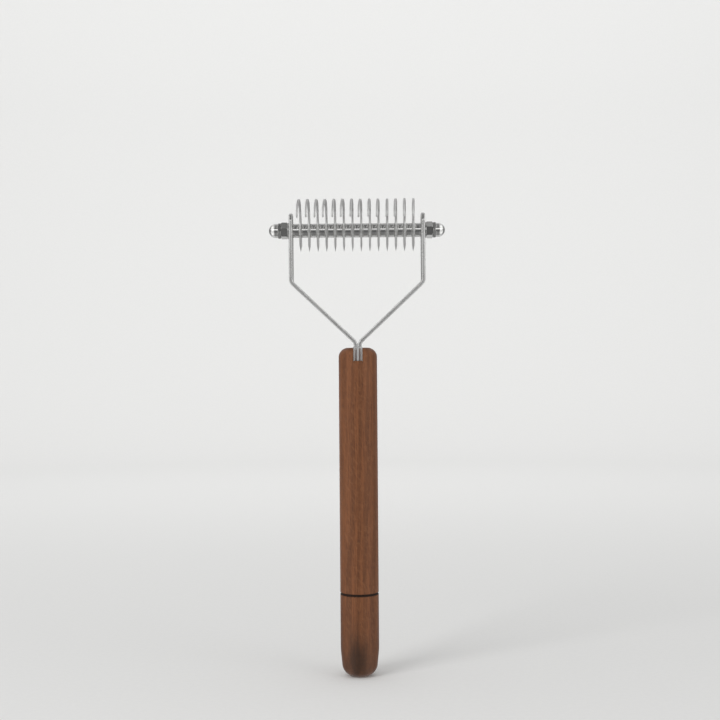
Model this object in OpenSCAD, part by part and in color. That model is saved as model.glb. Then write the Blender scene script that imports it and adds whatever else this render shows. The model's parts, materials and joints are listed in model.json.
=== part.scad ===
/* [Handle] */
// Diameter of the turned wooden handle
handle_d = 14.4; // [13:0.1:18]
// Length of the handle
handle_len = 122.8; // [100:0.1:140]
// Radius turned on the rim at the head end
top_round = 3.6; // [2:0.1:4]
// Radius turned on the rim at the bottom end
bottom_round = 4.6; // [2:0.1:5]
// Height over which the handle narrows to its bottom end
foot_h = 10; // [8:0.5:14]
// How much smaller the radius is at the bottom end, before the rim is rounded
foot_narrow = 1; // [0.2:0.1:1.5]
// Height of the decorative groove above the bottom end
groove_z = 31; // [20:1:40]
// Width of the decorative groove
groove_w = 0.8; // [0.5:0.1:1.2]
// Depth of the decorative groove
groove_depth = 0.3; // [0.1:0.05:0.5]

/* [Fork] */
// Thickness of the flat steel strips
strip_t = 1.45; // [1.2:0.05:1.6]
// Width of the strips, front to back
strip_w = 6.5; // [6:0.1:7]
// Height of the axle above the top of the handle
axle_rise = 44; // [40:0.5:50]
// Length of a leg from the axle down to its shoulder corner
leg_drop = 19.4; // [17:0.1:22]
// Length of a leg above the axle
leg_top = 6.5; // [5:0.1:8]
// Height of the neck corner above the top of the handle
neck_rise = 2; // [1.5:0.1:3]
// Inside radius of the shoulder and neck bends
bend_r = 1.8; // [1:0.1:2]
// Length of the tang inside the handle
tang_len = 28; // [20:1:40]

/* [Neck collar] */
// Wall of the collar crimped around both strips
collar_wall = 0.16; // [0.1:0.01:0.2]
// Height of the collar
collar_h = 5.2; // [4:0.1:8]
// Height of the collar that stands above the handle
collar_stand = 0.3; // [0.1:0.1:0.5]
// Depth of the two pressed flutes in each broad face of the collar's front and back
flute_depth = 0.12; // [0.05:0.01:0.14]

/* [Blades] */
// Number of blades
blade_count = 14; // [6:1:18]
// Thickness of a blade
blade_t = 0.8; // [0.6:0.05:1]
// Radius of the hub around the axle
hub_r = 3.5; // [3.2:0.1:3.8]
// Distance of the hook's centre in front of the axle
hook_fwd = 8; // [7.5:0.1:8.5]
// Height of the hook's centre above the axle
hook_up = 4.3; // [4:0.1:5]
// Outside radius of the hook
hook_r = 6.6; // [6.2:0.1:6.8]
// Radius of the sharpened inside of the hook
edge_r = 5.8; // [5.6:0.1:5.9]
// Distance of the tail's tip below the axle
tail_drop = 7.8; // [7:0.1:8.5]
// Distance of the tail's tip behind the axle
tail_back = 1.5; // [1:0.1:2]

/* [Spacers] */
// Outside diameter of the spacer tubes
spacer_d = 5.2; // [4.6:0.1:5.6]
// Length of a spacer tube
spacer_len = 2.45; // [2:0.05:3]

/* [Fasteners] */
// Diameter of the threaded axle, M3
axle_d = 3; // [3:0.5:3]
// Radial play of a hole that the axle passes through
hole_play = 0.08; // [0.04:0.01:0.1]
// Radial play left for the thread, which is drawn plain
thread_play = 0.04; // [0.02:0.01:0.06]
// Diameter of the washers
washer_d = 6; // [5.5:0.1:6.4]
// Thickness of the washers
washer_t = 0.5; // [0.3:0.1:0.8]
// Width across flats of the nuts
nut_af = 5.5; // [5:0.5:6]
// Thickness of the hexagon nuts
nut_h = 2.4; // [1.8:0.1:2.8]
// Length of the hexagon of a cap nut
cap_hex_h = 1.1; // [0.8:0.1:1.5]
// Diameter of the dome of a cap nut
cap_d = 5.2; // [4.8:0.1:5.3]
// Overall length of a cap nut
cap_len = 4.6; // [4.4:0.1:5]
// Distance from a cap nut's seat to the end of the axle inside it
axle_in_cap = 2.8; // [2:0.1:3]
// Turn of the left nuts about the axle
left_nut_turn = 17; // [0:1:59]
// Turn of the right nuts about the axle
right_nut_turn = 12; // [0:1:59]

/* [Hidden] */
$fn = 96;
hex_sides = 6;
bend_steps = 16;
eps = 0.01;
// Distance that a cut runs on beyond the surface it starts from
over = 1;
// Play between pieces that are clamped together, and between pieces that are pressed together
seat_gap = 0.02;
press_gap = 0.04;
handle_r = handle_d / 2;
axle_r = axle_d / 2;
axle_z = handle_len + axle_rise;
pitch = blade_t + spacer_len;
pack_len = blade_count * pitch + spacer_len;
leg_inner = pack_len / 2 + seat_gap;
leg_mid = leg_inner + strip_t / 2;
leg_outer = leg_inner + strip_t;
washer_x = leg_outer + seat_gap;
nut_x = washer_x + washer_t + seat_gap;
cap_x = nut_x + nut_h + seat_gap;
axle_half = cap_x + axle_in_cap;
tang_gap = 0.1;
tang_mid = (strip_t + tang_gap) / 2;
tang_bottom = handle_len - tang_len;
shoulder_z = axle_z - leg_drop;
neck_z = handle_len + neck_rise;
// Angle of the sloping run, measured from the vertical
slope = atan((leg_mid - tang_mid) / (shoulder_z - neck_z));
slope_len = norm([leg_mid - tang_mid, shoulder_z - neck_z]);
bend_mid = bend_r + strip_t / 2;
// Length that a bend takes from each of the two runs it joins
bend_take = bend_mid * tan(slope / 2);
nut_corners = nut_af / cos(30);
nut_chamfer = (nut_corners - nut_af) / 2;
// Turn of each cap nut past the hexagon nut it is locked against
cap_turn_left = 25;
cap_turn_right = 20;
collar_x = tang_mid + strip_t / 2 + seat_gap + collar_wall;
collar_y = strip_w / 2 + seat_gap + collar_wall;
collar_top = handle_len + collar_stand;
notch_z = collar_top - collar_h;

function two_digits(i) = i < 10 ? str("0", i) : str(i);
function blade_name(i) = str("blade_", two_digits(i));
function spacer_name(i) = str("spacer_", two_digits(i));
function blade_x(i) = (i - (blade_count + 1) / 2) * pitch;
function spacer_x(i) = (i - (blade_count + 2) / 2) * pitch;
function unit(a) = [cos(a), sin(a)];

// Places children that run along Z from 0 so that they run along +X from x, on the axle
module on_axle(x) {
    translate([x, 0, axle_z])
        rotate([0, 90, 0])
            children();
}

// Half section of a turned bar that narrows to its bottom end, with both rims rounded
module turned_half(r, h, narrow, narrow_h, round_low, round_high) {
    lean = atan(narrow / narrow_h);
    low = [r - narrow - round_low * (1 - sin(lean)) / cos(lean), round_low];
    // Where the lower round meets the narrowed side
    low_end = low + round_low * [cos(lean), -sin(lean)];
    polygon([[0, low_end.y], low_end, [r, narrow_h], [r, h - round_high], [0, h - round_high]]);
    square([low.x, low_end.y + eps]);
    translate([0, h - round_high - eps])
        square([r - round_high, round_high + eps]);
    intersection() {
        translate(low)
            circle(r = round_low);
        square([r, low_end.y + eps]);
    }
    intersection() {
        translate([r - round_high, h - round_high])
            circle(r = round_high);
        translate([0, h - round_high - eps])
            square([r, round_high + eps]);
    }
}

// Turned handle with its groove, the notch across its top and the mortise for the strips
module handle() {
    // A circle of this radius, set this far outside, cuts a groove of the wanted width and depth
    groove_r = (groove_w * groove_w / 4 + groove_depth * groove_depth) / (2 * groove_depth);
    mortise_x = tang_mid + strip_t / 2 + press_gap;
    mortise_y = strip_w / 2 + press_gap;
    notch_x = collar_x + press_gap;
    color("saddlebrown")
        difference() {
            rotate_extrude()
                difference() {
                    turned_half(handle_r, handle_len, foot_narrow, foot_h, bottom_round, top_round);
                    translate([handle_r - groove_depth + groove_r, groove_z])
                        circle(r = groove_r);
                }
            translate([-notch_x, -handle_r - over, notch_z - press_gap])
                cube([2 * notch_x, handle_d + 2 * over, collar_h + over]);
            translate([-mortise_x, -mortise_y, tang_bottom - press_gap])
                cube([2 * mortise_x, 2 * mortise_y, tang_len + over]);
        }
}

// Thin sleeve crimped around both strips, with two flutes pressed in its front and back faces
module neck_collar() {
    inner_x = collar_x - collar_wall;
    inner_y = collar_y - collar_wall;
    flute_r = 0.45;
    // Height of the plain rim above the flutes
    rim_h = 0.5;
    color("lightgray")
        difference() {
            translate([-collar_x, -collar_y, notch_z])
                cube([2 * collar_x, 2 * collar_y, collar_h]);
            translate([-inner_x, -inner_y, notch_z - over])
                cube([2 * inner_x, 2 * inner_y, collar_h + 2 * over]);
            for (side = [-1, 1], face = [-1, 1])
                translate([side * tang_mid, face * (collar_y + flute_r - flute_depth), notch_z - over])
                    cylinder(r = flute_r, h = over + collar_h - rim_h);
        }
}

// Points of an arc about centre, in steps that suit a small bend
function arc(centre, r, from, to) =
    [for (k = [0:bend_steps]) centre + r * unit(from + (to - from) * k / bend_steps)];

// Edge-on outline of the right strip: tang, neck bend, sloping run, shoulder bend and leg
module strip_outline() {
    neck = [tang_mid + bend_mid, neck_z - bend_take];
    shoulder = [leg_mid - bend_mid, shoulder_z + bend_take];
    near = bend_r;
    far = bend_r + strip_t;
    polygon(concat(
        [[tang_mid - strip_t / 2, tang_bottom]],
        arc(neck, far, 180, 180 - slope),
        arc(shoulder, near, -slope, 0),
        [[leg_inner, axle_z + leg_top], [leg_outer, axle_z + leg_top]],
        arc(shoulder, far, 0, -slope),
        arc(neck, near, 180 - slope, 180),
        [[tang_mid + strip_t / 2, tang_bottom]]
    ));
}

// Strip of the fork, with the rounded end and the axle hole of its leg
module fork_strip() {
    difference() {
        translate([0, strip_w / 2, 0])
            rotate([90, 0, 0])
                linear_extrude(strip_w)
                    strip_outline();
        translate([leg_inner - over, 0, axle_z + leg_top - strip_w / 2])
            rotate([90, 0, 90])
                linear_extrude(strip_t + 2 * over)
                    difference() {
                        translate([-strip_w, 0])
                            square([2 * strip_w, strip_w]);
                        circle(d = strip_w);
                    }
        on_axle(leg_inner - over)
            cylinder(r = axle_r + hole_play, h = strip_t + 2 * over);
    }
}

module fork_right() {
    color("silver")
        fork_strip();
}

module fork_left() {
    color("silver")
        mirror([1, 0, 0])
            fork_strip();
}

// Threaded rod that carries the blades and spacers, with chamfered ends
module axle_rod() {
    end_chamfer = 0.4;
    color("gray")
        on_axle(-axle_half) {
            cylinder(r1 = axle_r - end_chamfer, r2 = axle_r, h = end_chamfer);
            translate([0, 0, end_chamfer])
                cylinder(r = axle_r, h = 2 * (axle_half - end_chamfer));
            translate([0, 0, 2 * axle_half - end_chamfer])
                cylinder(r1 = axle_r, r2 = axle_r - end_chamfer, h = end_chamfer);
        }
}

// Pointed leaf between two points, made of two equal arcs
module leaf(p, q, width) {
    half_chord = norm(q - p) / 2;
    r = (half_chord * half_chord + width * width / 4) / width;
    translate((p + q) / 2)
        rotate(atan2(q[1] - p[1], q[0] - p[0]))
            intersection() {
                translate([0, r - width / 2])
                    circle(r = r);
                translate([0, width / 2 - r])
                    circle(r = r);
            }
}

// Outline of a blade, with the axle at the origin, the hook to the left and the tail below
module blade_outline() {
    hub = [0, 0];
    hook = [-hook_fwd, hook_up];
    // The straight back touches both the hub and the outside of the hook
    away = atan2(hook_up, -hook_fwd);
    touch = unit(away - acos((hub_r - hook_r) / norm(hook)));
    // The inside circle meets the outside circle at the tip of the hook, which points down
    tip_angle = 188;
    edge_angle = -6;
    tip = hook + hook_r * unit(tip_angle);
    edge_centre = tip + edge_r * unit(edge_angle);
    // The leaf of the tail starts inside the hub, a little in front of its top
    tail_root = [-0.6, hub_r - 0.4];
    tail_tip = [tail_back, -tail_drop];
    tail_w = 2 * hub_r - 1;
    difference() {
        union() {
            difference() {
                union() {
                    translate(hook)
                        circle(r = hook_r);
                    polygon([hub, hub + hub_r * touch, hook + hook_r * touch, hook]);
                }
                translate(edge_centre)
                    circle(r = edge_r);
            }
            circle(r = hub_r);
            leaf(tail_root, tail_tip, tail_w);
        }
        circle(r = axle_r + hole_play);
    }
}

// Blade number i, counted from the left
module blade(i) {
    color("gainsboro")
        translate([blade_x(i) - blade_t / 2, 0, axle_z])
            rotate([90, 0, 90])
                linear_extrude(blade_t)
                    blade_outline();
}

// Spacer tube number i, counted from the left
module spacer(i) {
    color("darkgray")
        on_axle(spacer_x(i) - spacer_len / 2)
            difference() {
                cylinder(d = spacer_d, h = spacer_len);
                translate([0, 0, -over])
                    cylinder(r = axle_r + hole_play, h = spacer_len + 2 * over);
            }
}

module washer() {
    on_axle(washer_x)
        difference() {
            cylinder(d = washer_d, h = washer_t);
            translate([0, 0, -over])
                cylinder(r = axle_r + hole_play, h = washer_t + 2 * over);
        }
}

module washer_right() {
    color("silver")
        washer();
}

module washer_left() {
    color("silver")
        mirror([1, 0, 0])
            washer();
}

// Hexagon with its corners turned down at both ends, standing on the origin
module turned_hexagon(h, chamfer_low) {
    // Corners are turned to 30 degrees, and the turned rim is as wide as the flats
    drop = nut_chamfer * tan(30);
    low = chamfer_low ? drop : 0;
    intersection() {
        cylinder(d = nut_corners, h = h, $fn = hex_sides);
        union() {
            if (chamfer_low)
                cylinder(d1 = nut_af, d2 = nut_corners, h = low);
            translate([0, 0, low])
                cylinder(d = nut_corners, h = h - low - drop);
            translate([0, 0, h - drop])
                cylinder(d1 = nut_corners, d2 = nut_af, h = drop);
        }
    }
}

module hex_nut(turn) {
    on_axle(nut_x)
        rotate(turn)
            difference() {
                turned_hexagon(nut_h, true);
                translate([0, 0, -over])
                    cylinder(r = axle_r + thread_play, h = nut_h + 2 * over);
            }
}

module hex_nut_right() {
    color("silver")
        hex_nut(right_nut_turn);
}

module hex_nut_left() {
    color("silver")
        mirror([1, 0, 0])
            hex_nut(left_nut_turn);
}

// Domed cap nut with a blind threaded hole
module cap_nut(turn) {
    dome_r = cap_d / 2;
    dome_straight = cap_len - dome_r;
    // The threaded hole runs a little deeper than the axle reaches
    hole_end = axle_in_cap + 0.4;
    on_axle(cap_x)
        rotate(turn)
            difference() {
                union() {
                    turned_hexagon(cap_hex_h, true);
                    rotate_extrude()
                        intersection() {
                            union() {
                                square([dome_r, dome_straight]);
                                translate([0, dome_straight])
                                    circle(r = dome_r);
                            }
                            square([dome_r, cap_len]);
                        }
                }
                translate([0, 0, -over])
                    cylinder(r = axle_r + thread_play, h = hole_end + over);
            }
}

module cap_nut_right() {
    color("whitesmoke")
        cap_nut(right_nut_turn + cap_turn_right);
}

module cap_nut_left() {
    color("whitesmoke")
        mirror([1, 0, 0])
            cap_nut(left_nut_turn + cap_turn_left);
}

handle();
neck_collar();
fork_left();
fork_right();
axle_rod();
for (i = [1:blade_count])
    blade(i);
for (i = [1:blade_count + 1])
    spacer(i);
washer_left();
washer_right();
hex_nut_left();
hex_nut_right();
cap_nut_left();
cap_nut_right();
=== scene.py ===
import json
import math
import random

import bmesh
import bpy
from mathutils import Euler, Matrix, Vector
from mathutils.geometry import tessellate_polygon


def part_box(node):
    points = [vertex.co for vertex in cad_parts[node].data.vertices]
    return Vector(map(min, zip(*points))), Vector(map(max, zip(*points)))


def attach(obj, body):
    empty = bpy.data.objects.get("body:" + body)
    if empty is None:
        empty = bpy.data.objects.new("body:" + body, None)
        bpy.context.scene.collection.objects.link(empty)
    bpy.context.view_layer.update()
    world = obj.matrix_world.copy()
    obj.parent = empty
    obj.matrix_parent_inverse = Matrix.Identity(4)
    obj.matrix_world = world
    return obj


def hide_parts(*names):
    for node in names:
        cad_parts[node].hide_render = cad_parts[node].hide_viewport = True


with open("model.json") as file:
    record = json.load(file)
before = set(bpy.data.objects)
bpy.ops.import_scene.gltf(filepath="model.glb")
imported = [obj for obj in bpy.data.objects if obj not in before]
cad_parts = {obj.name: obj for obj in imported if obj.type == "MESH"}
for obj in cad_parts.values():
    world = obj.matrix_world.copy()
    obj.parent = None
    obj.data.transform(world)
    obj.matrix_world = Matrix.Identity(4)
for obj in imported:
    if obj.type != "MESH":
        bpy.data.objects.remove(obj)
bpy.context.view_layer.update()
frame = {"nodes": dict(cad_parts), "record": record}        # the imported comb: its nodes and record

MM = 0.001
FULL_TURN = 2 * math.pi

# ---------------------------------------------------------------- places taken from the frame

handle_lo, handle_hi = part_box("handle")
axle_lo, axle_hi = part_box("axle_rod")
fork_lo, fork_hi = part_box("fork_right")
collar_lo, collar_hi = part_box("neck_collar")
AXLE = (axle_lo + axle_hi) / 2
AXLE_R = (axle_hi.z - axle_lo.z) / 2
HANDLE_R = (handle_hi.x - handle_lo.x) / 2
HANDLE_LEN = handle_hi.z - handle_lo.z

# Shapes that the boxes don't hold, as the CAD source has them
STRIP_T = 1.45 * MM
LEG_INNER = fork_hi.x - STRIP_T
COLLAR_WALL = 0.16 * MM
SEAT_GAP = 0.02 * MM
PRESS_GAP = 0.04 * MM
HOLE_PLAY = 0.08 * MM
ROD_CHAMFER = 0.4 * MM
GROOVE_Z = 31 * MM
GROOVE_W = 0.8 * MM
GROOVE_DEPTH = 0.3 * MM
TOP_ROUND = 3.6 * MM
BOTTOM_ROUND = 4.6 * MM
FOOT_H = 10 * MM
FOOT_NARROW = 1 * MM
# The M3 thread, which the CAD source draws plain
THREAD_PITCH = 0.5 * MM
THREAD_DEPTH = 0.29 * MM
# The hook of a blade, seen from its side as (y, z) from the axle
HOOK_CENTRE = Vector((-8 * MM, 4.3 * MM))
HOOK_R = 6.6 * MM
EDGE_R = 5.8 * MM
TIP_ANGLE = math.radians(188)
EDGE_ANGLE = math.radians(-6)

# Folds sharper than this stay crisp on turned pieces, on ground blades and on CAD solids
CREASE = math.radians(32)
BLADE_CREASE = math.radians(11)
SOLID_CREASE = math.radians(28)

BLADES = sorted(n for n in frame["nodes"] if n.startswith("blade_"))
SPACERS = sorted(n for n in frame["nodes"] if n.startswith("spacer_"))
SIDES = ("left", "right")


# ---------------------------------------------------------------- mesh helpers

def new_object(name, bm, sharp_angle=CREASE):
    """A smooth-shaded object from a bmesh, with its creases over sharp_angle kept crisp."""
    bmesh.ops.recalc_face_normals(bm, faces=bm.faces)
    mesh = bpy.data.meshes.new(name)
    bm.to_mesh(mesh)
    bm.free()
    obj = bpy.data.objects.new(name, mesh)
    bpy.context.scene.collection.objects.link(obj)
    smooth(obj, sharp_angle)
    return obj


def smooth(obj, sharp_angle):
    mesh = obj.data
    mesh.polygons.foreach_set("use_smooth", [True] * len(mesh.polygons))
    mesh.set_sharp_from_angle(angle=sharp_angle)


def rounded(points, radii, steps=6):
    """A chain of 2D points whose corners are rounded; radii has one value for each point."""
    out = []
    last = len(points) - 1
    for i, (p, r) in enumerate(zip(points, radii)):
        p = Vector(p)
        if r == 0 or i in (0, last):
            out.append(p)
            continue
        before = (Vector(points[i - 1]) - p).normalized()
        after = (Vector(points[i + 1]) - p).normalized()
        half = before.angle(after) / 2
        centre = p + (before + after).normalized() * (r / math.sin(half))
        a = p + before * (r / math.tan(half)) - centre
        b = p + after * (r / math.tan(half)) - centre
        sweep = a.angle_signed(b)
        for k in range(steps + 1):
            turn = -sweep * k / steps
            c, s = math.cos(turn), math.sin(turn)
            out.append(centre + Vector((a.x * c - a.y * s, a.x * s + a.y * c)))
    return out


def revolve(bm, profile, place, segments, closed=False):
    """Turns a profile of (radius, height) round an axis. place maps (radius, angle, height) to a point."""
    rings = []
    for r, h in profile:
        if r < 1e-9:
            rings.append([bm.verts.new(place(0, 0, h))] * segments)
        else:
            turn = FULL_TURN / segments
            rings.append([bm.verts.new(place(r, k * turn, h)) for k in range(segments)])
    pairs = list(zip(rings, rings[1:] + rings[:1]))
    for low, high in pairs if closed else pairs[:-1]:
        for k in range(segments):
            n = (k + 1) % segments
            corners = list(dict.fromkeys([low[k], low[n], high[n], high[k]]))
            if len(corners) > 2:
                bm.faces.new(corners)


def about_x(r, angle, h):
    """Places a point round the axle, with h measured along X from the axle's centre."""
    return AXLE + Vector((h, r * math.cos(angle), r * math.sin(angle)))


def about_z(r, angle, h):
    return Vector((r * math.cos(angle), r * math.sin(angle), h))


# ---------------------------------------------------------------- shader helper

class Finish:
    """A node material under construction. Values given to its calls may be numbers, colours or sockets."""

    def __init__(self, name, metallic=0.0):
        self.material = bpy.data.materials.new(name)
        self.material.use_nodes = True
        self.tree = self.material.node_tree
        self.tree.nodes.clear()
        self.surface = self.node("ShaderNodeBsdfPrincipled", {"Metallic": metallic})
        out = self.node("ShaderNodeOutputMaterial", {})
        self.tree.links.new(self.surface.outputs[0], out.inputs["Surface"])
        self.object = self.node("ShaderNodeTexCoord", {}).outputs["Object"]

    def put(self, socket, value):
        if isinstance(value, bpy.types.NodeSocket):
            self.tree.links.new(value, socket)
        elif isinstance(value, (tuple, list)) and len(value) == 3 and socket.type == "RGBA":
            socket.default_value = (*value, 1)
        else:
            socket.default_value = value

    def node(self, kind, inputs, **settings):
        made = self.tree.nodes.new(kind)
        for key, value in settings.items():
            setattr(made, key, value)
        for key, value in inputs.items():
            self.put(made.inputs[key], value)
        return made

    def math(self, operation, a, b=0.0, c=0.0, clamp=False):
        made = self.node("ShaderNodeMath", {0: a, 1: b, 2: c}, operation=operation, use_clamp=clamp)
        return made.outputs[0]

    def stretched(self, per_mm, turn=(0, 0, 0)):
        """Object coordinates turned, then scaled by so many units per millimetre on each axis."""
        scale = tuple(s / MM for s in per_mm)
        turned = self.node("ShaderNodeMapping", {"Vector": self.object, "Rotation": turn})
        return self.node("ShaderNodeMapping", {"Vector": turned.outputs[0], "Scale": scale}).outputs[0]

    def noise(self, per_mm, detail=3.0, rough=0.5, distortion=0.0, turn=(0, 0, 0)):
        values = {"Vector": self.stretched(per_mm, turn), "Scale": 1.0, "Detail": detail}
        values.update({"Roughness": rough, "Distortion": distortion})
        return self.node("ShaderNodeTexNoise", values).outputs["Fac"]

    def ramp(self, value, low, high, to_low=0.0, to_high=1.0):
        """Maps low..high smoothly to to_low..to_high."""
        values = {"Value": value, "From Min": low, "From Max": high, "To Min": to_low, "To Max": to_high}
        return self.node("ShaderNodeMapRange", values, interpolation_type="SMOOTHSTEP").outputs["Result"]

    def mix(self, share, a, b, blend="MIX"):
        made = self.node("ShaderNodeMix", {}, data_type="RGBA", blend_type=blend)
        self.put(made.inputs[0], share)
        self.put(made.inputs[6], a)
        self.put(made.inputs[7], b)
        return made.outputs[2]

    def axis(self, name):
        return self.node("ShaderNodeSeparateXYZ", {"Vector": self.object}).outputs[name]

    def rubbed_edge(self, reach):
        """1 within reach of a sharp edge, 0 on open faces."""
        round_normal = self.node("ShaderNodeBevel", {"Radius": reach}, samples=4).outputs[0]
        flat_normal = self.node("ShaderNodeNewGeometry", {}).outputs["Normal"]
        dot = self.node("ShaderNodeVectorMath", {0: round_normal, 1: flat_normal}, operation="DOT_PRODUCT")
        return self.ramp(dot.outputs["Value"], 0.80, 0.995, 1.0, 0.0)

    def crevice(self, reach):
        """1 deep in a corner or a narrow gap, 0 in the open."""
        open_share = self.node("ShaderNodeAmbientOcclusion", {"Distance": reach}, samples=4).outputs["AO"]
        return self.ramp(open_share, 0.25, 0.85, 1.0, 0.0)

    def bump(self, height, depth, under=None):
        """Adds relief of so many metres for a height of 0 to 1."""
        values = {"Height": height, "Distance": depth, "Strength": 1.0}
        if under is not None:
            values["Normal"] = under
        return self.node("ShaderNodeBump", values).outputs[0]

    def finish(self, **inputs):
        for key, value in inputs.items():
            self.put(self.surface.inputs[key.replace("_", " ")], value)
        return self.material


# ---------------------------------------------------------------- finishes

def steel(name, dark, light, rough, grain, relief, turn=(0, 0, 0), wear=0.35):
    """Bare steel: grain lines, faint handling marks, hairline scratches, brighter rubbed edges, and painted shade
    that darkens its corners and narrow gaps.
    """
    f = Finish(name, metallic=1.0)
    lines = f.noise(grain, detail=4.0, rough=0.6, turn=turn)
    clouds = f.noise((0.22, 0.22, 0.22), detail=2.0)
    specks = f.noise((2.6, 2.6, 2.6), detail=3.0, rough=0.6)
    scratch_a = f.noise((7.0, 0.9, 0.4), detail=1.0, distortion=0.5, turn=(0.3, 0.5, 0.9))
    scratch_b = f.noise((0.5, 6.5, 1.1), detail=1.0, distortion=0.5, turn=(0.9, 0.2, 0.4))
    scratches = f.math("MAXIMUM", f.ramp(scratch_a, 0.70, 0.74), f.ramp(scratch_b, 0.71, 0.75))
    tone = f.math("MULTIPLY_ADD", lines, 0.5, f.math("MULTIPLY", f.math("ADD", clouds, specks), 0.25))
    colour = f.mix(f.ramp(tone, 0.32, 0.68), dark, light)
    colour = f.mix(f.math("MULTIPLY", scratches, 0.20), colour, (0.90, 0.90, 0.89))
    edge = f.rubbed_edge(0.16 * MM)
    edge = f.math("MULTIPLY", edge, f.ramp(specks, 0.30, 0.62, 0.35, 1.0))
    colour = f.mix(f.math("MULTIPLY", edge, wear), colour, (0.94, 0.94, 0.93))
    # Painted shade: colour darkened in corners and narrow gaps found by ambient occlusion, made patchy by the specks
    painted_crevice_shade = f.math("MULTIPLY", f.crevice(0.5 * MM), f.ramp(specks, 0.25, 0.60, 0.45, 0.85))
    colour = f.mix(painted_crevice_shade, colour, (0.16, 0.15, 0.13))
    spread = f.math("MULTIPLY_ADD", f.math("SUBTRACT", lines, 0.5), 0.14, rough)
    spread = f.math("MULTIPLY_ADD", f.math("SUBTRACT", clouds, 0.5), 0.08, spread)
    spread = f.math("MULTIPLY_ADD", scratches, 0.05, spread)
    spread = f.math("MULTIPLY_ADD", edge, 0.06, spread, clamp=True)
    normal = f.bump(lines, relief)
    normal = f.bump(scratches, -0.6 * relief, normal)
    return f.finish(Base_Color=colour, Roughness=spread, Normal=normal)


def walnut():
    """Turned walnut under a thin satin lacquer, with a burnt groove and a dark stain low down."""
    f = Finish("walnut_lacquered")
    x, z = f.axis("X"), f.axis("Z")
    wander = f.noise((0.10, 0.10, 0.010), detail=2.0)
    wander_y = f.noise((0.13, 0.13, 0.014), detail=2.0, turn=(0, 0, 1.1))
    # Growth rings lie round a line beside the handle, so they show as long uneven stripes
    off_x = f.math("MULTIPLY_ADD", wander, 9.0 * MM, f.math("ADD", x, 17.0 * MM))
    off_y = f.math("MULTIPLY_ADD", wander_y, 8.0 * MM, f.math("ADD", f.axis("Y"), 9.0 * MM))
    reach = f.math("SQRT", f.math("ADD", f.math("MULTIPLY", off_x, off_x), f.math("MULTIPLY", off_y, off_y)))
    ring = f.math("SINE", f.math("MULTIPLY", reach, FULL_TURN / (3.1 * MM)))
    ring = f.ramp(ring, -1.0, 1.0)
    fibres = f.noise((2.4, 2.4, 0.070), detail=5.0, rough=0.62)
    fine = f.noise((8.0, 8.0, 0.26), detail=3.0, rough=0.6)
    patches = f.noise((0.11, 0.11, 0.030), detail=3.0, distortion=0.5)
    # Curl: short soft flecks that lean across the grain
    curl = f.noise((0.9, 0.9, 0.34), detail=3.0, rough=0.55, distortion=0.8, turn=(0.25, 0.45, 0))
    pores = f.ramp(f.noise((8.5, 8.5, 0.42), detail=2.0, rough=0.45), 0.58, 0.70)
    end_grain = f.ramp(f.math("MINIMUM", z, f.math("SUBTRACT", HANDLE_LEN, z)), 0.0, 1.6 * MM, 1.0, 0.0)

    colour = f.mix(f.ramp(ring, 0.0, 1.0, 0.0, 0.60), (0.222, 0.081, 0.031), (0.112, 0.041, 0.016))
    colour = f.mix(f.ramp(fibres, 0.34, 0.68, 0.0, 0.55), colour, (0.085, 0.031, 0.013))
    colour = f.mix(f.ramp(fine, 0.45, 0.75, 0.0, 0.35), colour, (0.243, 0.095, 0.040))
    colour = f.mix(f.ramp(patches, 0.42, 0.74, 0.0, 0.50), colour, (0.240, 0.094, 0.038))
    colour = f.mix(f.ramp(curl, 0.46, 0.72, 0.0, 0.34), colour, (0.271, 0.114, 0.049))
    colour = f.mix(f.math("MULTIPLY", pores, 0.62), colour, (0.034, 0.015, 0.010))
    colour = f.mix(f.math("MULTIPLY", end_grain, 0.35), colour, (0.085, 0.038, 0.024))
    # The stain climbs unevenly from the bottom end, and is darkest in a spot on the front
    cloud = f.noise((0.16, 0.16, 0.05), detail=4.0)
    climb = f.ramp(f.math("MULTIPLY_ADD", cloud, 30.0 * MM, z), 12.0 * MM, 46.0 * MM, 0.52, 0.0)
    colour = f.mix(climb, colour, (0.040, 0.022, 0.014))
    spot_at = (0, -HANDLE_R, 7 * MM)
    spot_size = (5.5 * MM, 4 * MM, 11 * MM)
    spot = f.node("ShaderNodeMapping", {"Vector": f.object, "Location": spot_at, "Scale": spot_size},
                  vector_type="TEXTURE")
    away = f.node("ShaderNodeVectorMath", {0: spot.outputs[0]}, operation="LENGTH").outputs["Value"]
    away = f.math("MULTIPLY_ADD", f.math("SUBTRACT", cloud, 0.5), 1.6, away)
    colour = f.mix(f.ramp(away, 0.15, 1.25, 0.70, 0.0), colour, (0.030, 0.017, 0.011))
    # Char fills the groove and bleeds a little way along the grain
    bleed = f.math("MULTIPLY_ADD", fine, 0.7 * MM, f.math("ABSOLUTE", f.math("SUBTRACT", z, GROOVE_Z)))
    char = f.ramp(bleed, 0.60 * MM, 1.05 * MM, 0.96, 0.0)
    colour = f.mix(char, colour, (0.012, 0.007, 0.005))

    rough = f.math("MULTIPLY_ADD", fibres, 0.14, 0.42)
    rough = f.math("MULTIPLY_ADD", char, 0.25, rough)
    coat = f.math("MULTIPLY_ADD", char, -0.1, 0.14)
    coat_rough = f.math("MULTIPLY_ADD", f.noise((0.5, 0.5, 0.2), detail=3.0), 0.14, 0.26)
    normal = f.bump(pores, -0.022 * MM)
    normal = f.bump(fibres, 0.020 * MM, normal)
    coat_normal = f.bump(f.math("ADD", pores, f.math("MULTIPLY", fibres, 0.4)), -0.012 * MM)
    return f.finish(
        Base_Color=colour, Roughness=rough, Normal=normal, Specular_IOR_Level=0.22,
        Coat_Weight=coat, Coat_Roughness=coat_rough, Coat_IOR=1.45, Coat_Normal=coat_normal)


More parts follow.
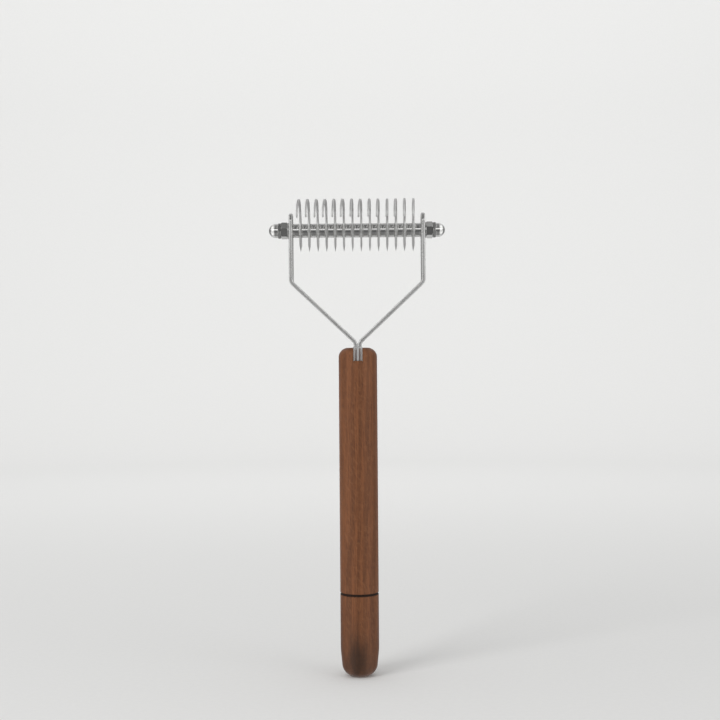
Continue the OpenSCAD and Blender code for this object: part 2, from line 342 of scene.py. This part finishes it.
# Dark and light tone, roughness, grain lines per millimetre along each axis, and their depth
FINISHES = {
    "walnut": walnut(),
    "satin_steel": steel(
        "satin_steel", (0.60, 0.60, 0.59), (0.70, 0.70, 0.69), 0.27, (0.25, 7.0, 0.25), 0.0007 * MM),
    "blade_steel": steel(
        "blade_steel", (0.64, 0.64, 0.63), (0.77, 0.77, 0.76), 0.44, (1.0, 1.6, 9.0), 0.0007 * MM,
        turn=(0.6, 0, 0)),
    "polished_steel": steel(
        "polished_steel", (0.70, 0.70, 0.69), (0.80, 0.80, 0.79), 0.13, (9.0, 0.6, 0.6), 0.0004 * MM),
    "drawn_steel": steel(
        "drawn_steel", (0.84, 0.84, 0.83), (0.93, 0.93, 0.92), 0.34, (6.0, 6.0, 0.5), 0.0004 * MM),
    "plated_steel": steel(
        "plated_steel", (0.74, 0.74, 0.72), (0.84, 0.84, 0.83), 0.13, (6.0, 1.2, 1.2), 0.0003 * MM),
    "threaded_steel": steel(
        "threaded_steel", (0.36, 0.36, 0.36), (0.54, 0.54, 0.53), 0.30, (8.0, 0.8, 0.8), 0.0010 * MM),
}
SLOT_OF = {row["node"]: row["material_slot"] for row in frame["record"]["subparts"]}
# The collar shares a slot with the polished tubes, but is duller drawn sheet
OWN_FINISH = {"neck_collar": "drawn_steel"}


def dress(obj, node):
    """Gives obj the finish of a CAD node: its own, or else that of its material slot."""
    obj.data.materials.clear()
    obj.data.materials.append(FINISHES[OWN_FINISH.get(node, SLOT_OF[node])])


def stand_for(obj, node, body):
    """obj takes a CAD node's finish and body, and the CAD node is hidden."""
    dress(obj, node)
    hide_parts(node)
    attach(obj, body)


# ---------------------------------------------------------------- pieces

def soften_cad_node(node, width, segments=3, clamp=True):
    """Keeps a CAD node as it is, and breaks its sharp edges with a small radius."""
    obj = frame["nodes"][node]
    dress(obj, node)
    smooth(obj, SOLID_CREASE)
    weld = obj.modifiers.new("weld", "WELD")
    weld.merge_threshold = 1e-7
    flat = obj.modifiers.new("whole_faces", "DECIMATE")
    flat.decimate_type = "DISSOLVE"
    flat.angle_limit = math.radians(0.3)
    edge = obj.modifiers.new("broken_edges", "BEVEL")
    edge.width = width
    edge.segments = segments
    edge.limit_method = "ANGLE"
    edge.angle_limit = CREASE
    edge.use_clamp_overlap = clamp
    shading = obj.modifiers.new("flat_faces_stay_flat", "WEIGHTED_NORMAL")
    shading.mode = "FACE_AREA"
    shading.weight = 90
    shading.keep_sharp = True


def handle():
    """The turned handle, with its rounded rims, groove, notch and mortise."""
    groove_r = (GROOVE_W ** 2 / 4 + GROOVE_DEPTH ** 2) / (2 * GROOVE_DEPTH)
    groove_half = math.asin(GROOVE_W / 2 / groove_r)
    groove_centre = HANDLE_R - GROOVE_DEPTH + groove_r
    groove_steps = 8
    groove = []
    for k in range(groove_steps + 1):
        a = groove_half * (2 * k / groove_steps - 1)
        groove.append(Vector((groove_centre - groove_r * math.cos(a), GROOVE_Z + groove_r * math.sin(a))))
    blend_r = 27 * MM
    foot = [(0, 0), (HANDLE_R - FOOT_NARROW, 0), (HANDLE_R, FOOT_H), groove[0]]
    low = rounded(foot, [0, BOTTOM_ROUND, blend_r, 0], steps=14)
    high = rounded([groove[-1], (HANDLE_R, HANDLE_LEN), (0, HANDLE_LEN)], [0, TOP_ROUND, 0], steps=14)
    bm = bmesh.new()
    revolve(bm, low + groove[1:-1] + high, about_z, 144)
    body = new_object("turned_handle", bm)

    beyond = 1 * MM
    notch = box_cutter(
        "notch",
        (collar_lo.x - PRESS_GAP, -HANDLE_R * 2, collar_lo.z - PRESS_GAP),
        (collar_hi.x + PRESS_GAP, HANDLE_R * 2, HANDLE_LEN + beyond))
    # The mortise is narrower than the collar on each side by its wall, and fits the strips alone
    inset = COLLAR_WALL + SEAT_GAP - PRESS_GAP
    mortise = box_cutter(
        "mortise",
        (collar_lo.x + inset, collar_lo.y + inset, fork_lo.z - PRESS_GAP),
        (collar_hi.x - inset, collar_hi.y - inset, HANDLE_LEN))
    for cutter in (notch, mortise):
        cut = body.modifiers.new(cutter.name, "BOOLEAN")
        cut.operation = "DIFFERENCE"
        cut.solver = "EXACT"
        cut.object = cutter
    apply_modifiers(body)
    for cutter in (notch, mortise):
        bpy.data.objects.remove(cutter)
    smooth(body, CREASE)
    stand_for(body, "handle", "frame")


def box_cutter(name, low, high):
    """A plain box between two corners, to be cut from another piece."""
    bm = bmesh.new()
    bmesh.ops.create_cube(bm, size=1.0)
    low, high = Vector(low), Vector(high)
    for v in bm.verts:
        v.co = Vector(((low[i] + high[i]) / 2 + v.co[i] * (high[i] - low[i]) for i in range(3)))
    return new_object(name, bm)


def apply_modifiers(obj):
    """Replaces the mesh with its evaluated form."""
    depsgraph = bpy.context.evaluated_depsgraph_get()
    depsgraph.update()
    mesh = bpy.data.meshes.new_from_object(obj.evaluated_get(depsgraph))
    obj.modifiers.clear()
    obj.data = mesh


def spacer(node):
    """A cut length of polished tube with its ends deburred."""
    lo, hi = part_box(node)
    half = (hi.x - lo.x) / 2
    middle = (hi.x + lo.x) / 2 - AXLE.x
    outer = (hi.z - lo.z) / 2
    inner = AXLE_R + HOLE_PLAY
    burr = 0.10 * MM
    corners = [(inner, middle), (inner, middle + half), (outer, middle + half),
               (outer, middle - half), (inner, middle - half), (inner, middle)]
    profile = rounded(corners, [0, burr, burr, burr, burr, 0], steps=3)[:-1]
    bm = bmesh.new()
    revolve(bm, profile, about_x, 56, closed=True)
    stand_for(new_object("tube_" + node, bm), node, "blade_pack")


def cad_outline(node):
    """The outer loop and the bore loop of a blade, read from its flat +X face as (y, z) points."""
    bm = bmesh.new()
    bm.from_mesh(frame["nodes"][node].data)
    bmesh.ops.remove_doubles(bm, verts=bm.verts, dist=1e-7)
    high = max(v.co.x for v in bm.verts)
    flat = {f for f in bm.faces if all(abs(v.co.x - high) < 1e-6 for v in f.verts)}
    rim = [e for e in bm.edges if sum(f in flat for f in e.link_faces) == 1]
    beside = {}
    for e in rim:
        a, b = e.verts
        beside.setdefault(a, []).append(b)
        beside.setdefault(b, []).append(a)
    loops, unseen = [], set(beside)
    while unseen:
        start = min(unseen, key=lambda v: (v.co.y, v.co.z))
        loop, previous, here = [], None, start
        while here in unseen:
            unseen.discard(here)
            loop.append(Vector((here.co.y - AXLE.y, here.co.z - AXLE.z)))
            step = [v for v in beside[here] if v is not previous]
            previous, here = here, step[0]
        loops.append(loop)
    bm.free()
    loops.sort(key=lambda l: -max(p.length for p in l))
    return [spaced(counter_clockwise(l), 0.30 * MM) for l in loops]


def counter_clockwise(loop):
    area = sum(a.cross(b) for a, b in zip(loop, loop[1:] + loop[:1]))
    return loop if area > 0 else loop[::-1]


def spaced(loop, step):
    """Splits the longer sides of a loop so that no side is longer than step."""
    out = []
    for a, b in zip(loop, loop[1:] + loop[:1]):
        parts = max(1, math.ceil((b - a).length / step))
        out.extend(a.lerp(b, k / parts) for k in range(parts))
    return out


def across(loop, i, normal):
    """Distance from point i of a loop, along normal, to the far side of the loop."""
    p, best = loop[i], 1.0
    n = len(loop)
    for k in range(n):
        if k in (i, (i - 1) % n):
            continue
        a, b = loop[k], loop[(k + 1) % n]
        side = b - a
        den = normal.cross(side)
        if abs(den) < 1e-15:
            continue
        t = (a - p).cross(side) / den
        s = (a - p).cross(normal) / den
        if t > 1e-7 and -1e-6 <= s <= 1 + 1e-6:
            best = min(best, t)
    return best


def blade_sections(outer):
    """For each point of the outline: its inward normal, the blade's width along it, and its sharpness."""
    n = len(outer)
    normals, widths, sharpness = [], [], []
    for i, p in enumerate(outer):
        ahead = outer[(i + 1) % n] - p
        behind = p - outer[i - 1]
        along = (ahead.normalized() + behind.normalized()).normalized()
        normal = Vector((-along.y, along.x))
        bulge = behind.cross(ahead) / (behind.length * ahead.length)
        normals.append(normal)
        widths.append(across(outer, i, normal))
        sharpness.append(1.0 if in_hollow(p, normal, bulge) else 0.0)
    # The grind runs out softly at both ends of the hollow
    for _ in range(5):
        sharpness = [(sharpness[i - 1] + 2 * sharpness[i] + sharpness[(i + 1) % n]) / 4 for i in range(n)]
    return list(zip(normals, widths, sharpness))


def in_hollow(p, normal, bulge):
    """True on the ground inside of the hook: hollow, clear of the hub, and not on its back."""
    tip = HOOK_CENTRE + HOOK_R * Vector((math.cos(TIP_ANGLE), math.sin(TIP_ANGLE)))
    middle = tip + EDGE_R * Vector((math.cos(EDGE_ANGLE), math.sin(EDGE_ANGLE)))
    clear_of_hub = p.x < -2.6 * MM and p.y > 1.2 * MM
    return bulge < 1e-3 and clear_of_hub and normal.x < 0.75 and (p - middle).dot(normal) > 0


def rim_rings(bm, loop, sections, middle, half, sign):
    """Rings of vertices from the edge of a blade to its flat side; sign says which side."""
    steps = 4
    rings = []
    for k in range(steps + 1):
        share = k / steps
        in_round = 1 - math.cos(share * math.pi / 2)
        out_round = math.sin(share * math.pi / 2)
        ring = []
        for p, (normal, wide, sharp) in zip(loop, sections):
            ground_w = min(1.35 * MM, wide * 0.46)
            round_w = min(0.26 * MM, wide * 0.34)
            bevel_w = round_w + (ground_w - round_w) * sharp
            edge = half * (0.18 * (1 - sharp) + 0.07 * sharp)
            edge = min(edge, 0.25 * half + wide * 0.5)
            inward = bevel_w * (in_round * (1 - sharp) + share * sharp)
            outward = edge + (half - edge) * (out_round * (1 - sharp) + share * sharp)
            place = p + normal * inward
            ring.append(bm.verts.new((middle + sign * outward, AXLE.y + place.x, AXLE.z + place.y)))
        rings.append(ring)
    return rings


def join(bm, low, high):
    """Faces between two rings of vertices."""
    count = len(low)
    for k in range(count):
        n = (k + 1) % count
        bm.faces.new((low[k], low[n], high[n], high[k]))


def fill_side(bm, outer_ring, bore_ring):
    """The flat side of a blade, between its outline and its bore."""
    verts = outer_ring + bore_ring
    loops = [[Vector((v.co.y, v.co.z, 0)) for v in ring] for ring in (outer_ring, bore_ring)]
    for tri in tessellate_polygon(loops):
        corners = [verts[t] for t in tri]
        if bm.faces.get(corners) is None:
            bm.faces.new(corners)


def blade(node, number):
    """A hooked blade: rounded back, ground hollow edge, and the slight sideways set of a used blade."""
    lo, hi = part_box(node)
    half = (hi.x - lo.x) / 2
    middle = (hi.x + lo.x) / 2
    outer, bore = cad_outline(node)
    chance = random.Random(410 + number)
    lean = (0.80 + chance.uniform(-0.22, 0.22)) * MM
    lift = math.radians(chance.uniform(-0.5, 0.5))
    outer_sections = blade_sections(outer)
    bore_sections = [(p.normalized(), 1 * MM, 0.0) for p in bore]
    bm = bmesh.new()
    edges = {}
    for sign in (-1, 1):
        outer_rings = rim_rings(bm, outer, outer_sections, middle, half, sign)
        bore_rings = rim_rings(bm, bore, bore_sections, middle, half, sign)
        for rings in (outer_rings, bore_rings):
            for low, high in zip(rings, rings[1:]):
                join(bm, low, high)
        fill_side(bm, outer_rings[-1], bore_rings[-1])
        edges[sign] = (outer_rings[0], bore_rings[0])
    for low, high in zip(edges[-1], edges[1]):
        join(bm, low, high)
    grind_tail(bm, middle, -min(p.y for p in outer))
    bend(bm, lean, lift)
    obj = new_object("ground_" + node, bm, sharp_angle=BLADE_CREASE)
    stand_for(obj, node, "blade_pack")


def grind_tail(bm, middle, drop):
    """Grinds both sides of the tail to a point. The facets start at a clean line across the blade."""
    length = 2.3 * MM
    thinned = 0.88
    start = AXLE.z - drop + length
    everything = bm.verts[:] + bm.edges[:] + bm.faces[:]
    bmesh.ops.bisect_plane(bm, geom=everything, dist=1e-8, plane_co=(0, 0, start), plane_no=(0, 0, 1))
    for v in bm.verts:
        below = max(0.0, start - v.co.z) / length
        v.co.x = middle + (v.co.x - middle) * (1 - thinned * below)


def bend(bm, lean, lift):
    """Turns a blade a hair about the axle and leans its hook to the left."""
    lean_starts = 4 * MM
    lean_runs = 10.5 * MM
    c = math.cos(lift)
    s = math.sin(lift)
    for v in bm.verts:
        y, z = v.co.y - AXLE.y, v.co.z - AXLE.z
        y, z = y * c - z * s, y * s + z * c
        forward = max(0.0, -y - lean_starts) / lean_runs
        v.co = Vector((v.co.x - lean * forward ** 1.25, AXLE.y + y, AXLE.z + z))


def axle():
    """The rod, with its M3 thread cut at both ends."""
    half = axle_hi.x - AXLE.x
    plain_half = LEG_INNER - AXLE.x - 3 * MM
    fade_in = 1 * MM
    around = 36
    per_pitch = 10
    bm = bmesh.new()
    count = math.ceil((half - plain_half) / THREAD_PITCH * per_pitch)

    def radius(x, angle):
        phase = (x / THREAD_PITCH - angle / FULL_TURN) % 1.0
        tooth = min(1.0, abs(2 * phase - 1) * 1.25)
        fade = min(1.0, (abs(x) - plain_half) / fade_in)
        tip = max(0.0, abs(x) - (half - ROD_CHAMFER)) / ROD_CHAMFER
        cut = THREAD_DEPTH * tooth * max(0.0, fade)
        return min(AXLE_R - cut, AXLE_R - ROD_CHAMFER * tip)

    stops = [plain_half + (half - plain_half) * k / count for k in range(count + 1)]
    stations = [-s for s in reversed(stops)] + stops
    turn = FULL_TURN / around
    rings = []
    for x in stations:
        rings.append([bm.verts.new(about_x(radius(x, k * turn), k * turn, x)) for k in range(around)])
    for low, high in zip(rings, rings[1:]):
        join(bm, low, high)
    bm.faces.new(rings[0])
    bm.faces.new(rings[-1])
    stand_for(new_object("threaded_axle", bm), "axle_rod", "blade_pack")


handle()
axle()
for name in SPACERS:
    spacer(name)
for number, name in enumerate(BLADES):
    blade(name, number)
soften_cad_node("fork_left", 0.42 * MM, segments=6, clamp=False)
soften_cad_node("fork_right", 0.42 * MM, segments=6, clamp=False)
soften_cad_node("neck_collar", 0.07 * MM)
for side in SIDES:
    soften_cad_node("washer_" + side, 0.07 * MM)
    soften_cad_node("hex_nut_" + side, 0.09 * MM)
    soften_cad_node("cap_nut_" + side, 0.07 * MM)


# ---------------------------------------------------------------- stage, light and camera

def paper(name, colour):
    """Matt paper with a faint tooth."""
    f = Finish(name)
    tooth = f.noise((0.5, 0.5, 0.5), detail=4.0)
    shade = f.mix(f.ramp(tooth, 0.3, 0.7), colour, tuple(c * 0.985 for c in colour))
    return f.finish(Base_Color=shade, Roughness=0.9, Normal=f.bump(tooth, 0.01 * MM))


def cyclorama():
    """One round pale sheet: a floor that sweeps up into a wall on every side."""
    floor_r, tall, sweep = 1.5, 1.6, 0.5
    line = rounded([(0, 0), (floor_r, 0), (floor_r, tall)], [0, sweep, 0], steps=24)
    bm = bmesh.new()
    revolve(bm, line, about_z, 96)
    sheet = new_object("studio_sheet", bm)
    sheet.data.materials.append(paper("studio_paper", (0.80, 0.80, 0.79)))
    # It takes light and shadows, and neither blocks the light from outside nor shows in the steel
    sheet.visible_glossy = False
    sheet.visible_diffuse = False
    sheet.visible_shadow = False


def softbox(name, place, aim, size, power):
    """A soft rectangular light. Places and sizes are in metres and power is in watts."""
    light = bpy.data.lights.new(name, "AREA")
    light.shape = "RECTANGLE"
    light.size, light.size_y = size
    light.energy = power
    obj = bpy.data.objects.new(name, light)
    obj.location = place
    obj.rotation_euler = (Vector(aim) - Vector(place)).to_track_quat("-Z", "Y").to_euler()
    obj.visible_glossy = False
    bpy.context.scene.collection.objects.link(obj)


class Sky:
    """The studio as the world's nodes see it. Directions are unit vectors from the comb outwards."""

    def __init__(self):
        world = bpy.data.worlds.new("studio")
        bpy.context.scene.world = world
        world.use_nodes = True
        self.tree = world.node_tree
        self.tree.nodes.clear()
        direction = self.tree.nodes.new("ShaderNodeTexCoord").outputs["Generated"]
        split = self.tree.nodes.new("ShaderNodeSeparateXYZ")
        self.tree.links.new(direction, split.inputs[0])
        self.x, self.y, self.z = split.outputs

    def put(self, socket, value):
        if isinstance(value, bpy.types.NodeSocket):
            self.tree.links.new(value, socket)
        else:
            socket.default_value = value

    def math(self, operation, a, b=0.0):
        made = self.tree.nodes.new("ShaderNodeMath")
        made.operation = operation
        self.put(made.inputs[0], a)
        self.put(made.inputs[1], b)
        return made.outputs[0]

    def step(self, value, low, high):
        """Rises smoothly from 0 at low to 1 at high. It falls when low is above high."""
        made = self.tree.nodes.new("ShaderNodeMapRange")
        made.interpolation_type = "SMOOTHSTEP"
        self.put(made.inputs["Value"], value)
        self.put(made.inputs["From Min"], min(low, high))
        self.put(made.inputs["From Max"], max(low, high))
        self.put(made.inputs["To Min"], 0.0 if low < high else 1.0)
        self.put(made.inputs["To Max"], 1.0 if low < high else 0.0)
        return made.outputs["Result"]

    def band(self, value, low, high, soft):
        rise = self.step(value, low - soft, low + soft)
        fall = self.step(value, high + soft, high - soft)
        return self.math("MULTIPLY", rise, fall)

    def background(self, level):
        made = self.tree.nodes.new("ShaderNodeBackground")
        self.put(made.inputs["Strength"], level)
        return made.outputs[0]


def studio_world(even_level):
    """Even light for matt surfaces. Steel mirrors a dim room with soft lights on its sides."""
    sky = Sky()
    front = sky.step(sky.y, -0.15, -0.45)
    wide = sky.math("ABSOLUTE", sky.x)
    off_centre = sky.step(wide, 0.10, 0.34)
    past_sides = sky.math("SUBTRACT", sky.y, sky.math("MULTIPLY", wide, 0.6))
    backdrop = sky.math("MULTIPLY", sky.step(past_sides, 0.05, 0.35), sky.step(sky.y, 1.02, 0.90))
    not_square_on = sky.step(wide, 1.005, 0.965)
    at_side = sky.math("MULTIPLY", sky.step(sky.y, 0.30, 0.10), not_square_on)
    dim_room = 0.13
    lights = [
        # The pale sheet behind the comb, with dark flags at its sides that draw the outline of the steel
        (0.48, backdrop),
        # A tall softbox on each side, dimmer square on, so that flat faces don't wash out
        (0.95, sky.math("MULTIPLY", sky.step(wide, 0.36, 0.60), at_side)),
        # A strip light just above the camera, and the lit wall round the camera
        (1.60, sky.math("MULTIPLY", front, sky.band(sky.z, 0.18, 0.38, 0.05))),
        (0.30, sky.math("MULTIPLY", front, sky.band(sky.z, -0.12, 0.16, 0.07))),
        # Two lights overhead with a dark slot between them, and the floor
        (0.50, sky.math("MULTIPLY", off_centre, sky.step(sky.z, 0.35, 0.70))),
        (0.30, sky.math("MULTIPLY", off_centre, sky.step(sky.z, -0.30, -0.70))),
        (0.10, sky.step(sky.z, 0.60, 0.95)),
        (0.12, sky.step(sky.z, -0.35, -0.80)),
    ]
    total = dim_room
    for level, share in lights:
        total = sky.math("ADD", sky.math("MULTIPLY", share, level), total)
    choose = sky.tree.nodes.new("ShaderNodeMixShader")
    ray = sky.tree.nodes.new("ShaderNodeLightPath").outputs["Is Glossy Ray"]
    out = sky.tree.nodes.new("ShaderNodeOutputWorld")
    sky.put(choose.inputs[0], ray)
    sky.put(choose.inputs[1], sky.background(even_level))
    sky.put(choose.inputs[2], sky.background(total))
    sky.put(out.inputs[0], choose.outputs[0])


def camera(place, lens, roll):
    """Looks along +Y from place, turned by roll about its own line of sight. lens is in millimetres."""
    data = bpy.data.cameras.new("camera")
    data.lens = lens
    data.sensor_width = 36
    obj = bpy.data.objects.new("camera", data)
    obj.location = place
    obj.rotation_euler = Euler((math.radians(90), roll, 0))
    bpy.context.scene.collection.objects.link(obj)
    bpy.context.scene.camera = obj


cyclorama()
studio_world(even_level=0.86)
comb = (0, 0, 0.10)
softbox("key_light", place=(-0.70, -0.75, 0.80), aim=comb, size=(0.5, 0.5), power=5)
softbox("fill_light", place=(0.80, -0.60, 0.45), aim=comb, size=(0.5, 0.6), power=1)
softbox("wall_light", place=(0, 0.55, 0.90), aim=(0, 1.5, 0.35), size=(1.2, 0.4), power=4)
bpy.context.scene.view_settings.view_transform = "Standard"
# Square on to the comb's front and a little below the top of its handle, as the comb was laid
camera(place=(0.8 * MM, -480 * MM, 118.2 * MM), lens=64, roll=math.radians(0.42))
